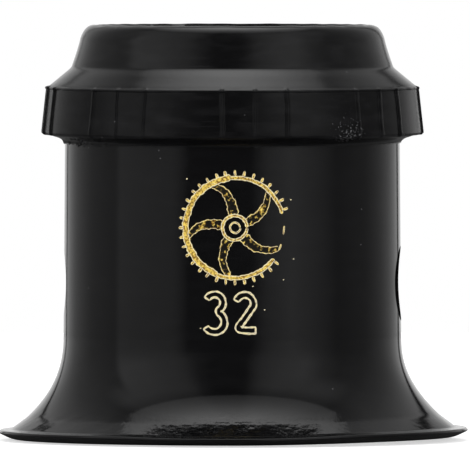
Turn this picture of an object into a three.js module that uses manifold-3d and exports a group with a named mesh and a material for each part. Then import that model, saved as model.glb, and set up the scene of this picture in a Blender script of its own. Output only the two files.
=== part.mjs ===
// Watchmaker's eye loupe: a flared eyecup housing, and a screw cap that holds a pair of lenses.
// Millimetres, +Z up. The loupe stands on its eyecup, and the origin is the middle of that contact plane.
// Angles run from the front (-Y) round to the right (+X), so a helix that climbs is right-handed.
import * as THREE from "three";
import { mergeVertices } from "three/addons/utils/BufferGeometryUtils.js";
import Module from "manifold-3d";

const wasm = await Module();
wasm.setup();

const FULL_TURN = 2 * Math.PI;
const roundSegments = 60; // facets in a full turn
const curveSteps = 4; // facets along a rounded edge
const lensSteps = 6; // facets from a lens's vertex to its rim
const sectionSides = 6; // facets round a ring's section
const weldTolerance = 1e-5;
const cutOverrun = 2; // how far a cutter reaches past what it cuts

// Optics: two equal plano-convex lenses that share the work, curved faces towards each other
const magnification = 8;
const nearPoint = 250; // reading distance, at which the magnification is counted
const crownGlassIndex = 1.523;
const lensRadius = 9.5;
const lensEdge = 1; // thickness of the rim
const lensBevel = 0.2;
const vertexGap = 0.3; // air between the two curved faces
const spacerWall = 0.8;

// What holds the lenses
const cushionWidth = 0.8;
const cushionThickness = 0.7;
const ringWire = 0.9; // wire diameter of the split ring
const ringReach = 0.35; // how far the split ring stands into its groove
const ringGap = 2.6; // opening between the ends of the split ring

// Clearances
const cellClearance = 0.1; // round the lenses
const stackGap = 0.1; // between neighbours in the lens stack
const grooveClearance = 0.08; // round the split ring
const sleeveClearance = 0.3; // lens sleeve in the neck
const threadClearance = 0.2;
const seatGap = 0.3; // cap's ceiling over the neck
const lipGap = 0.25; // cap's lip over the tube

// Screw thread, single start, right-hand
const threadPitch = 1.5;
const threadDepth = 0.55;
const ridgeFoot = 0.75; // width of a ridge where it leaves its wall
const ridgeCrest = 0.35; // width of its crest
const ridgeSink = 0.15; // how far its foot is sunk in the wall
const runOutSteps = 6; // facets in which a ridge rises out of the wall

// Screw cap, from its lip up
const sleeveWall = 1.3;
const sleeveEndWall = 0.7; // below the groove
const sleeveChamfer = 0.2;
const lipWall = 0.1;
const bevelHeight = 0.7;
const bevelLedge = 0.55; // width of the flat under the grip ring
const bevelEdge = 0.05; // height of that flat's slope
const gripWall = 1.67; // thread bore to the foot of the grip ring
const gripHeight = 3.6;
const gripDraft = 0.37; // how much the grip ring narrows upwards
const gripEdge = 0.06; // broken top edge
const ribWidth = 0.35;
const ribHeight = 0.15;
const ribSink = 0.3;
const ribGroups = 8;
const ribsPerGroup = 3;
const ribSpacing = THREE.MathUtils.degToRad(10);
const firstGroupAngle = THREE.MathUtils.degToRad(6.9);
const ceilingRise = 0.15; // thread bore's ceiling over the grip ring's top edge
const coneHeight = 1.58;
const domeHeight = 3.23;
const domeFootWall = 2.83; // lens cell to the foot of the dome
const domeTopWall = 2.08; // lens cell to where the dome's round edge starts
const crownRound = 1.06; // height of that round edge
const rimWidth = 0.3; // flat ring round the sight opening
const recessDepth = 0.96; // sight opening's funnel
const funnelReach = 1.4; // how much the funnel widens
const lensLipWall = 0.5;
const lensLipOverlap = 0.6; // how far the lip reaches over the objective lens

// Eyecup housing, from its contact plane up
const flangeRadius = 18.1;
const tipHeight = 0.75;
const lipReach = 1.96; // lip's tip past the end of the flare
const lipRise = 0.94; // end of the flare over the lip's tip
const contactInset = 1.5; // contact ring inside the lip's tip
const contactWidth = 0.75;
const flareHeight = 8.2;
const flarePower = 2.2;
const innerFlarePower = 2;
const flareSteps = 7;
const tubeHeight = 22.6;
const tubeDraft = 0.11; // how much the tube narrows upwards
const boreDraft = 0.25;
const shoulderStep = 0.18; // tube's edge past the pilot land
const pilotHeight = 0.5;
const neckWall = 0.95; // behind the thread
const neckChamfer = 0.15;
const ventRadius = 2.75;
const ventRise = 3.88; // vents' middle over the end of the flare
const ventTurn = THREE.MathUtils.degToRad(2); // right vent turned this much to the front
const ventSegments = 28;

// Points of the lip's outline, as shares of its width and height from the contact ring out to the tip ...
const lipUndersideShares = [
  [0.57, 0.4],
  [0.93, 0.83],
];
// ... and from the tip back to the flare
const lipTopShares = [
  [0.1, 0.16],
  [0.46, 0.35],
  [0.79, 0.61],
];

// Radii, built outwards from the lens
const cellRadius = lensRadius + cellClearance;
const sleeveRadius = cellRadius + sleeveWall;
const neckBore = sleeveRadius + sleeveClearance;
const neckRadius = neckBore + neckWall;
const threadRadius = neckRadius + threadDepth;
const tubeTopRadius = threadRadius + shoulderStep;
const tubeFootRadius = tubeTopRadius + tubeDraft;
const boreFootRadius = neckBore + boreDraft;
const capBore = threadRadius + threadClearance;
const capRidgeRadius = neckRadius + threadClearance;
const capLipRadius = capBore + lipWall;
const gripRadius = capBore + gripWall;
const gripTopRadius = gripRadius - gripDraft;
const domeFootRadius = cellRadius + domeFootWall;
const domeTopRadius = cellRadius + domeTopWall;
const sightRadius = lensRadius - lensLipOverlap;
const mouthRadius = sightRadius + funnelReach;
const rimRadius = mouthRadius + rimWidth;

// Heights in the cap's own frame, which starts at its lip
const gripTop = bevelHeight + gripHeight;
const ceilingHeight = gripTop + ceilingRise;
const coneTop = gripTop + coneHeight;
const capHeight = coneTop + domeHeight;
const crownStart = capHeight - crownRound;
const funnelFloor = capHeight - recessDepth;
const lensSeat = funnelFloor - lensLipWall;

// The lens stack hangs from that seat
const focalLength = nearPoint / magnification;
const lensCurveRadius = (crownGlassIndex - 1) * 2 * focalLength;
const lensSag = sagAt(lensRadius);
const edgeSpacing = 2 * lensSag + vertexGap;
const objectiveHeight = lensSeat - stackGap;
const eyeLensHeight = objectiveHeight - 2 * lensEdge - edgeSpacing;
const spacerHeight = edgeSpacing - 2 * stackGap;
const spacerFoot = eyeLensHeight + lensEdge + stackGap;
const cushionMiddle = eyeLensHeight - stackGap - cushionThickness / 2;
const ringMiddle = cushionMiddle - cushionThickness / 2 - stackGap - ringWire / 2;
const grooveHalfHeight = ringWire / 2 + grooveClearance;
const sleeveEnd = ringMiddle - grooveHalfHeight - sleeveEndWall;

// Heights in the housing's frame
const capBase = tubeHeight + lipGap;
const neckTop = capBase + ceilingHeight - seatGap;
const flareFoot = tipHeight + lipRise;
const ventHeight = flareHeight + ventRise;
const neckThreadStart = tubeHeight + pilotHeight + ridgeFoot / 2;
const neckThreadEnd = neckTop - neckChamfer - ridgeFoot / 2;
const capThreadStart = pilotHeight + ridgeFoot / 2;
const capThreadEnd = ceilingHeight - neckChamfer - ridgeFoot / 2;

/** How deep the lens's curved face has fallen from its vertex at a radius. */
function sagAt(radius) {
  return lensCurveRadius - Math.sqrt(lensCurveRadius ** 2 - radius ** 2);
}

/** A three.js geometry as a closed manifold solid: shared corners merge, and slivers at the poles drop out. */
function toSolid(geometry) {
  geometry.deleteAttribute("normal");
  geometry.deleteAttribute("uv");
  const merged = mergeVertices(geometry, weldTolerance);
  const corners = merged.index.array;
  const kept = [];
  for (let i = 0; i < corners.length; i += 3) {
    const [a, b, c] = corners.slice(i, i + 3);
    if (a !== b && b !== c && c !== a) kept.push(a, b, c);
  }
  return new wasm.Manifold(
    new wasm.Mesh({
      numProp: 3,
      vertProperties: new Float32Array(merged.attributes.position.array),
      triVerts: new Uint32Array(kept),
    }),
  );
}

/** A manifold solid as a geometry with one normal per facet. */
function toGeometry(solid) {
  const { vertProperties, triVerts } = solid.getMesh();
  const geometry = new THREE.BufferGeometry();
  geometry.setAttribute("position", new THREE.BufferAttribute(vertProperties, 3));
  geometry.setIndex(new THREE.BufferAttribute(triVerts, 1));
  const faceted = geometry.toNonIndexed();
  faceted.computeVertexNormals();
  return faceted;
}

/** A solid of revolution about Z. The outline holds [radius, height], up the outside and down the inside. */
function revolve(outline) {
  const points = outline.map(([radius, height]) => new THREE.Vector2(radius, height));
  points.push(points[0].clone());
  return toSolid(new THREE.LatheGeometry(points, roundSegments).rotateX(Math.PI / 2));
}

/** Points of a round edge from one point to another, bent towards a corner; the first point is left out. */
function roundedTo(from, corner, to) {
  const curve = new THREE.QuadraticBezierCurve(
    new THREE.Vector2(...from),
    new THREE.Vector2(...corner),
    new THREE.Vector2(...to),
  );
  return curve
    .getPoints(curveSteps)
    .slice(1)
    .map((point) => [point.x, point.y]);
}

/** The outline of a round or oval ring's section, about a middle radius and height. */
function ovalSection(middleRadius, middleHeight, halfWidth, halfHeight) {
  const oval = new THREE.EllipseCurve(middleRadius, middleHeight, halfWidth, halfHeight);
  return oval
    .getPoints(sectionSides)
    .slice(1)
    .map((point) => [point.x, point.y]);
}

/** Angle of the neck's ridge at a height in the housing's frame. */
function threadAngle(height) {
  return (FULL_TURN * (height - neckThreadStart)) / threadPitch;
}

/**
 * A thread's ridge as one closed body, with a section at each facet. Its foot is sunk in the wall. At both
 * ends the crest sinks into the wall too, so that the thread runs out as a moulded one does.
 */
function threadRidge(wallRadius, crestRadius, startHeight, endHeight, startAngle) {
  const side = Math.sign(crestRadius - wallRadius);
  const sunkRadius = wallRadius - side * ridgeSink;
  const buriedRadius = (wallRadius + sunkRadius) / 2;
  const steps = Math.round((roundSegments * (endHeight - startHeight)) / threadPitch);
  const positions = [];
  const corners = [];
  for (let step = 0; step <= steps; step++) {
    const angle = startAngle + (FULL_TURN * step) / roundSegments;
    const height = startHeight + (threadPitch * step) / roundSegments;
    const rise = Math.min(1, step / runOutSteps, (steps - step) / runOutSteps);
    const tipRadius = THREE.MathUtils.lerp(buriedRadius, crestRadius, rise);
    const section = [
      [sunkRadius, -ridgeFoot / 2],
      [tipRadius, -ridgeCrest / 2],
      [tipRadius, ridgeCrest / 2],
      [sunkRadius, ridgeFoot / 2],
    ];
    for (const [radius, offset] of section) {
      positions.push(radius * Math.sin(angle), -radius * Math.cos(angle), height + side * offset);
    }
    if (step === steps) continue;
    for (let j = 0; j < section.length; j++) {
      const a = step * section.length + j;
      const b = step * section.length + ((j + 1) % section.length);
      const c = b + section.length;
      const d = a + section.length;
      corners.push(a, d, c, a, c, b);
    }
  }
  const last = positions.length / 3 - 4;
  corners.push(0, 1, 2, 0, 2, 3);
  corners.push(last, last + 2, last + 1, last, last + 3, last + 2);
  const geometry = new THREE.BufferGeometry();
  geometry.setAttribute("position", new THREE.Float32BufferAttribute(positions, 3));
  geometry.setIndex(corners);
  return toSolid(geometry);
}

/** Flared cup, drafted tube with a hole on each side, and threaded neck. */
function eyecupHousing() {
  const contactOuter = flangeRadius - contactInset;
  const contactInner = contactOuter - contactWidth;
  const flareRadius = flangeRadius - lipReach;
  const outline = [[contactOuter, 0]];
  for (const [across, up] of lipUndersideShares) {
    outline.push([contactOuter + across * contactInset, up * tipHeight]);
  }
  outline.push([flangeRadius, tipHeight]);
  for (const [across, up] of lipTopShares) {
    outline.push([flangeRadius - across * lipReach, tipHeight + up * lipRise]);
  }
  for (let step = flareSteps; step >= 0; step--) {
    const share = step / flareSteps;
    const radius = THREE.MathUtils.lerp(tubeFootRadius, flareRadius, share ** flarePower);
    outline.push([radius, THREE.MathUtils.lerp(flareHeight, flareFoot, share)]);
  }
  outline.push(
    [tubeTopRadius, tubeHeight],
    [threadRadius, tubeHeight],
    [threadRadius, tubeHeight + pilotHeight],
    [neckRadius, tubeHeight + pilotHeight],
    [neckRadius, neckTop - neckChamfer],
    [neckRadius - neckChamfer, neckTop],
    [neckBore, neckTop],
  );
  for (let step = 0; step <= flareSteps; step++) {
    const share = step / flareSteps;
    const radius = THREE.MathUtils.lerp(boreFootRadius, contactInner, share ** innerFlarePower);
    outline.push([radius, THREE.MathUtils.lerp(flareHeight, 0, share)]);
  }
  const ridge = threadRidge(neckRadius, threadRadius, neckThreadStart, neckThreadEnd, 0);
  return toGeometry(revolve(outline).add(ridge).subtract(ventCutter()));
}

/** One cross-drilling makes both vents. */
function ventCutter() {
  const length = 2 * (flangeRadius + cutOverrun);
  const drill = new THREE.CylinderGeometry(ventRadius, ventRadius, length, ventSegments);
  drill.rotateZ(Math.PI / 2);
  drill.rotateZ(-ventTurn);
  drill.translate(0, 0, ventHeight);
  return toSolid(drill);
}

/** Ribbed grip ring, cone and dome, with the thread and the lens cell inside. */
function screwCap() {
  const lip = [capLipRadius, 0];
  const bevelTop = [gripRadius - bevelLedge, bevelHeight - bevelEdge];
  const crownFoot = [domeTopRadius, crownStart];
  const lean = ((domeFootRadius - domeTopRadius) * crownRound) / (crownStart - coneTop);
  const rimEdge = [rimRadius, capHeight];
  const outline = [
    lip,
    ...roundedTo(lip, [capLipRadius, bevelTop[1]], bevelTop),
    [gripRadius, bevelHeight],
    [gripTopRadius, gripTop],
    [gripTopRadius - gripEdge, gripTop + gripEdge],
    [domeFootRadius, coneTop],
    crownFoot,
    ...roundedTo(crownFoot, [domeTopRadius - lean, capHeight], rimEdge),
    [mouthRadius, capHeight],
    [sightRadius, funnelFloor],
    [sightRadius, lensSeat],
    [cellRadius, lensSeat],
    [cellRadius, ringMiddle + grooveHalfHeight],
    [cellRadius + ringReach, ringMiddle + grooveHalfHeight],
    [cellRadius + ringReach, ringMiddle - grooveHalfHeight],
    [cellRadius, ringMiddle - grooveHalfHeight],
    [cellRadius, sleeveEnd + sleeveChamfer],
    [cellRadius + sleeveChamfer, sleeveEnd],
    [sleeveRadius, sleeveEnd],
    [sleeveRadius, ceilingHeight],
    [capBore, ceilingHeight],
    [capBore, 0],
  ];
  const startAngle = threadAngle(capBase + capThreadStart) + FULL_TURN / 2;
  const ridge = threadRidge(capBore, capRidgeRadius, capThreadStart, capThreadEnd, startAngle);
  let solid = revolve(outline).add(ridge);
  for (let group = 0; group < ribGroups; group++) {
    const groupAngle = firstGroupAngle + (FULL_TURN * group) / ribGroups;
    for (let i = 0; i < ribsPerGroup; i++) {
      solid = solid.add(gripRib(groupAngle + (i - (ribsPerGroup - 1) / 2) * ribSpacing));
    }
  }
  return toGeometry(solid);
}

/** One thin upright rib, which leans with the grip ring's draft. */
function gripRib(angle) {
  const face = new THREE.Shape([
    new THREE.Vector2(gripRadius - ribSink, bevelHeight),
    new THREE.Vector2(gripRadius + ribHeight, bevelHeight),
    new THREE.Vector2(gripTopRadius + ribHeight, gripTop),
    new THREE.Vector2(gripTopRadius - ribSink, gripTop),
  ]);
  const rib = new THREE.ExtrudeGeometry(face, { depth: ribWidth, bevelEnabled: false });
  rib.rotateX(Math.PI / 2);
  rib.translate(0, ribWidth / 2, 0);
  rib.rotateZ(angle - Math.PI / 2);
  return toSolid(rib);
}

/** A plano-convex lens, its flat face on the plane z = 0 and its curved face below. */
function planoConvexLens() {
  const curved = [];
  for (let step = 0; step <= lensSteps; step++) {
    const radius = (lensRadius * step) / lensSteps;
    curved.push([radius, sagAt(radius) - lensEdge - lensSag]);
  }
  return toGeometry(revolve([...curved, [lensRadius, -lensBevel], [lensRadius - lensBevel, 0], [0, 0]]));
}

/** Tube between the lens rims. Its ends slope with the curved faces that they meet. */
function lensSpacer() {
  const innerRadius = lensRadius - spacerWall;
  const slope = lensSag - sagAt(innerRadius);
  return toGeometry(
    revolve([
      [lensRadius, 0],
      [lensRadius, spacerHeight],
      [innerRadius, spacerHeight - slope],
      [innerRadius, slope],
    ]),
  );
}

/** Rubber ring under the eye lens, pressed a little oval. */
function cushionRing() {
  const middleRadius = lensRadius - cushionWidth / 2;
  return toGeometry(revolve(ovalSection(middleRadius, 0, cushionWidth / 2, cushionThickness / 2)));
}

/** Round wire bent to a ring, its ends apart at the back. */
function retainingRing() {
  const middleRadius = cellRadius + ringReach - grooveClearance - ringWire / 2;
  const ring = revolve(ovalSection(middleRadius, 0, ringWire / 2, ringWire / 2));
  const slot = new THREE.BoxGeometry(ringGap, 2 * ringWire, ringWire + cutOverrun);
  slot.translate(0, middleRadius, 0);
  return toGeometry(ring.subtract(toSolid(slot)));
}

const finishes = {
  glossBlack: { color: "#131416", roughness: 0.22, metalness: 0 },
  mattBlack: { color: "#18181a", roughness: 0.7, metalness: 0 },
  rubber: { color: "#202021", roughness: 0.85, metalness: 0 },
  springSteel: { color: "#8f9296", roughness: 0.35, metalness: 1 },
  glass: { color: "#dfe9e6", roughness: 0.03, metalness: 0, transparent: true, opacity: 0.3 },
};

/** A named piece at a height in its group. */
function piece(name, geometry, finish, height = 0) {
  const mesh = new THREE.Mesh(geometry, new THREE.MeshStandardMaterial(finish));
  mesh.name = name;
  mesh.position.z = height;
  return mesh;
}

const lensStack = new THREE.Group();
const eyeLens = piece("eye_lens", planoConvexLens(), finishes.glass, eyeLensHeight);
eyeLens.rotation.x = Math.PI;
lensStack.add(
  piece("objective_lens", planoConvexLens(), finishes.glass, objectiveHeight),
  piece("lens_spacer", lensSpacer(), finishes.mattBlack, spacerFoot),
  eyeLens,
  piece("cushion_ring", cushionRing(), finishes.rubber, cushionMiddle),
);

const lensHead = new THREE.Group();
lensHead.position.z = capBase;
lensHead.add(
  piece("screw_cap", screwCap(), finishes.glossBlack),
  piece("retaining_ring", retainingRing(), finishes.springSteel, ringMiddle),
  lensStack,
);

const loupe = new THREE.Group();
loupe.add(piece("eyecup_housing", eyecupHousing(), finishes.glossBlack), lensHead);

export default loupe;
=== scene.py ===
"""Watchmaker's eye loupe: glossy black mouldings, a hot-stamped gold mark, two glass lenses.

The row frame: +Z up the optical axis from the contact plane, -Y towards the camera. Shapes are worked out
in millimetres as whole numpy arrays, and become metres where they are put into a mesh. Angles run from the
front (-Y) round to the right (+X).
"""

import math

import bmesh
import bpy
import numpy as np
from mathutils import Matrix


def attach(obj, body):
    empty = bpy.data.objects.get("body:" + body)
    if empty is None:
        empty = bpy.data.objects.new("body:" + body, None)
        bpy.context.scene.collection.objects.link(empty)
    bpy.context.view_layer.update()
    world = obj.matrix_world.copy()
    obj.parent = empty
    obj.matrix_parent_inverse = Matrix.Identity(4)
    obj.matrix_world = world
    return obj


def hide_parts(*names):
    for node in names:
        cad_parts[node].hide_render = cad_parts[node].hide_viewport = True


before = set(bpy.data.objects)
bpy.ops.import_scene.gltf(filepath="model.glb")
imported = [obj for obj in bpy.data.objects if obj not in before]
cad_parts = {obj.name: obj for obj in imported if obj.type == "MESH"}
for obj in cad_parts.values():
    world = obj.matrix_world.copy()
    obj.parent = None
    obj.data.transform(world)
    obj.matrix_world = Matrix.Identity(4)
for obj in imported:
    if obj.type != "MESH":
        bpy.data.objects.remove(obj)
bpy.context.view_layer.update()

MM = 0.001
TURN = 2 * np.pi
MERGE = 2e-7  # metres; points closer than this are one

# Radii, in millimetres
LENS = 9.5
CELL = 9.6
SLEEVE = 10.9
NECK_BORE = 11.2
NECK = 12.15
THREAD = 12.7
TUBE_TOP = 12.88
TUBE_FOOT = 12.99
BORE_FOOT = 11.45
FLARE_END = 16.13
CONTACT_INNER = 15.85
CAP_BORE = 12.9
CAP_RIDGE = 12.35
CAP_LIP = 12.97
GRIP = 14.57
GRIP_TOP = 14.2

# Heights, in millimetres from the contact plane up
FLARE_FOOT = 1.55
FLARE_TOP = 8.2
VENT = 12.08
TUBE_END = 22.95
NECK_TOP = 27.0
CAP_BASE = 22.85

VENT_RADIUS = 2.75
VENT_ANGLES = np.radians([87.0, 267.0])

# The screw thread: its pitch, and its ridges' widths at foot and crest
PITCH = 1.5
RIDGE_FOOT = 0.75
RIDGE_CREST = 0.35
RIDGE_RUN_OUT = np.radians(36.0)
NECK_RIDGE = 23.475  # where the neck's ridge starts, from the contact plane up
NECK_RIDGE_TURNS = 2
CAP_RIDGE_START = 0.875  # the same for the cap's, from the cap's base up
CAP_RIDGE_CLIMB = 3.05


# Shapes

def smooth(share):
    """0 below 0, 1 above 1, and 3s^2 - 2s^3 between."""
    s = np.clip(share, 0, 1)
    return s * s * (3 - 2 * s)


def bend(start, corner, end, steps):
    """Points of the parabola from start to end that is drawn towards a corner."""
    start, corner, end = (np.asarray(p, float) for p in (start, corner, end))
    t = np.linspace(0, 1, steps + 1)[:, None]
    return (1 - t) ** 2 * start + 2 * t * (1 - t) * corner + t * t * end


def straight(start, end, steps):
    """Evenly spaced points from start to end."""
    return np.linspace(start, end, steps + 1)


def rounded(outline, steps=3, support=0.03):
    """Rounds the corners of an outline of (radius, height, rounding) rows.

    Each corner becomes the parabola between the two points that lie its rounding away along its edges. One more
    point a support length further out on either side keeps the shading of the long faces flat. A corner with no
    rounding stays one point, and so do the outline's two ends.
    """
    outline = np.asarray(outline, float)
    corner, cut = outline[:, :2], outline[:, 2:]
    back = np.roll(corner, 1, 0) - corner
    ahead = np.roll(corner, -1, 0) - corner
    back /= np.linalg.norm(back, axis=1, keepdims=True)
    ahead /= np.linalg.norm(ahead, axis=1, keepdims=True)
    reach = cut + np.where(cut > 0, support, 0)
    t = np.linspace(0, 1, steps + 1)[:, None, None]
    curve = corner + (1 - t) ** 2 * back * cut + t * t * ahead * cut
    points = np.concatenate([(corner + back * reach)[None], curve, (corner + ahead * reach)[None]])
    points = points.transpose(1, 0, 2).reshape(-1, 2)
    return points[np.r_[True, np.linalg.norm(np.diff(points, axis=0), axis=1) > 1e-6]]


def soften(points, rounds=3):
    """Corner cutting: every edge keeps its points at 1/4 and 3/4, and both ends stay, a few times over."""
    points = np.asarray(points, float)
    for _ in range(rounds):
        a, b = points[:-1], points[1:]
        cut = np.stack([0.75 * a + 0.25 * b, 0.25 * a + 0.75 * b], 1).reshape(-1, 2)
        points = np.vstack([points[:1], cut, points[-1:]])
    return points


def ripple(angle, waves, seed):
    """A closed random wave round a turn, about -1 to 1: the mean of sines of the given whole wave numbers."""
    draw = np.random.default_rng(seed)
    waves = np.asarray(waves)
    phase = draw.uniform(0, TURN, len(waves))
    size = draw.uniform(0.4, 1, len(waves))
    return (size * np.sin(np.asarray(angle)[..., None] * waves + phase)).sum(-1) / np.sqrt((size**2).sum())


def turned(radius, height, angle):
    """Points at radius R and height z round the axis: x = R sin(a), y = -R cos(a)."""
    radius, height, angle = np.broadcast_arrays(radius, height, angle)
    return np.stack([radius * np.sin(angle), -radius * np.cos(angle), height], -1)


def quads(rows, columns, close_rows=True, close_columns=True):
    """Corner numbers of a grid's quads, as an array (row, column, 4)."""
    i, j = np.meshgrid(
        np.arange(rows if close_rows else rows - 1),
        np.arange(columns if close_columns else columns - 1),
        indexing="ij",
    )
    up, across = (i + 1) % rows, (j + 1) % columns
    return np.stack([i * columns + j, i * columns + across, up * columns + across, up * columns + j], -1)


def grid(points, close_rows=True, close_columns=True):
    """A whole grid of points as a (points, faces) part."""
    return points, quads(*points.shape[:2], close_rows, close_columns)


def piece(name, parts, body, material, replaces=None):
    """One closed mesh from (points, faces) parts in millimetres: doubles merge and normals turn outwards."""
    counts = np.cumsum([0] + [np.prod(points.shape[:-1]) for points, _ in parts])
    points = np.vstack([points.reshape(-1, 3) for points, _ in parts]) * MM
    faces = np.vstack([f.reshape(-1, 4) + first for (_, f), first in zip(parts, counts)])
    mesh = bpy.data.meshes.new(name)
    mesh.from_pydata(points.tolist(), [], faces.tolist())
    work = bmesh.new()
    work.from_mesh(mesh)
    bmesh.ops.remove_doubles(work, verts=work.verts, dist=MERGE)
    bmesh.ops.recalc_face_normals(work, faces=work.faces)
    work.to_mesh(mesh)
    work.free()
    mesh.shade_smooth()
    mesh.materials.append(material)
    made = bpy.data.objects.new(name, mesh)
    bpy.context.scene.collection.objects.link(made)
    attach(made, body)
    if replaces:
        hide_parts(replaces)
    return made


def thread_height(angle, height, start, turns, first_height):
    """Share of the full ridge height, 0 to 1, over a wall with a single-start right-hand thread.

    The ridge's middle climbs one pitch a turn from first_height at the start angle. Across it the height is a
    smoothed trapezoid of foot and crest width, and at both ends it fades in over the run-out angle.
    """
    best = np.zeros(np.broadcast(angle, height).shape)
    for lap in range(math.ceil(turns) + 1):
        along = (angle - start) % TURN + TURN * lap
        middle = first_height + PITCH * along / TURN
        across = (RIDGE_FOOT / 2 - np.abs(height - middle)) / ((RIDGE_FOOT - RIDGE_CREST) / 2)
        fade = np.minimum(along, turns * TURN - along) / RIDGE_RUN_OUT
        best = np.maximum(best, smooth(across) * smooth(fade))
    return best


# Eyecup housing

HOUSING_COLUMNS = 192
PATCH = 8  # cells from a vent's middle to the edge of the patch that holds it
PATCH_STEP = 0.42  # height of a cell there
VENT_FILLET = 0.06


def tube_outside(height):
    """Outer radius: the flare grows as share^2.38 of the way down, above it the tube has a slight draft."""
    share = np.clip((FLARE_TOP - height) / (FLARE_TOP - FLARE_FOOT), 0, 1)
    draft = np.clip((height - FLARE_TOP) / (TUBE_END - FLARE_TOP), 0, 1)
    return TUBE_FOOT + (FLARE_END - TUBE_FOOT) * share**2.38 + (TUBE_TOP - TUBE_FOOT) * draft


def tube_inside(height):
    """Inner radius: the mouth grows as share^2 of the way down, above it the bore has a slight draft."""
    share = np.clip((FLARE_TOP - height) / FLARE_TOP, 0, 1)
    draft = np.clip((height - FLARE_TOP) / (NECK_TOP - FLARE_TOP), 0, 1)
    return BORE_FOOT + (CONTACT_INNER - BORE_FOOT) * share**2 + (NECK_BORE - BORE_FOOT) * draft


def vent_patch(centre):
    """The ring of points that fills a square hole in both skins with a round vent through the wall.

    Points are (y, z) across the drill, in rings from the outer square to the round edge, over a fillet,
    through the wall and back out to the inner square. Along the drill x = sqrt(R(z)^2 - y^2).
    """
    side = np.arange(-PATCH, PATCH)
    a = np.r_[side, np.full(2 * PATCH, PATCH), -side, np.full(2 * PATCH, -PATCH)]
    b = np.r_[np.full(2 * PATCH, -PATCH), side, np.full(2 * PATCH, PATCH), -side]
    height = VENT + b * PATCH_STEP
    swing = a * TURN / HOUSING_COLUMNS

    def skin(radius_at, inward):
        edge = np.stack([radius_at(height) * np.sin(swing), height - VENT], -1)
        way = edge / np.linalg.norm(edge, axis=-1, keepdims=True)
        share = np.array([0, 0.3, 0.55, 0.75, 0.9, 0.97, 1])[:, None, None]
        flat = (1 - share) * edge + share * way * (VENT_RADIUS + VENT_FILLET)
        bow = np.radians([22.5, 45, 67.5, 90])[:, None, None]
        over = way * (VENT_RADIUS + VENT_FILLET * (1 - np.sin(bow)))
        across = np.concatenate([flat, over])
        depth = np.concatenate([np.zeros((len(share), 1)), VENT_FILLET * (1 - np.cos(bow[..., 0]))])
        y, z = across[..., 0], across[..., 1] + VENT
        return np.stack([np.sqrt(radius_at(z) ** 2 - y * y) + inward * depth, y, z], -1)

    outer = skin(tube_outside, -1)
    inner = skin(tube_inside, 1)[::-1]
    through = np.linspace(outer[-1], inner[0], 5)[1:-1]
    x, y, z = np.concatenate([outer, through, inner]).transpose(2, 0, 1)
    return np.stack(
        [x * np.sin(centre) + y * np.cos(centre), -x * np.cos(centre) + y * np.sin(centre), z], -1
    )


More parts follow.
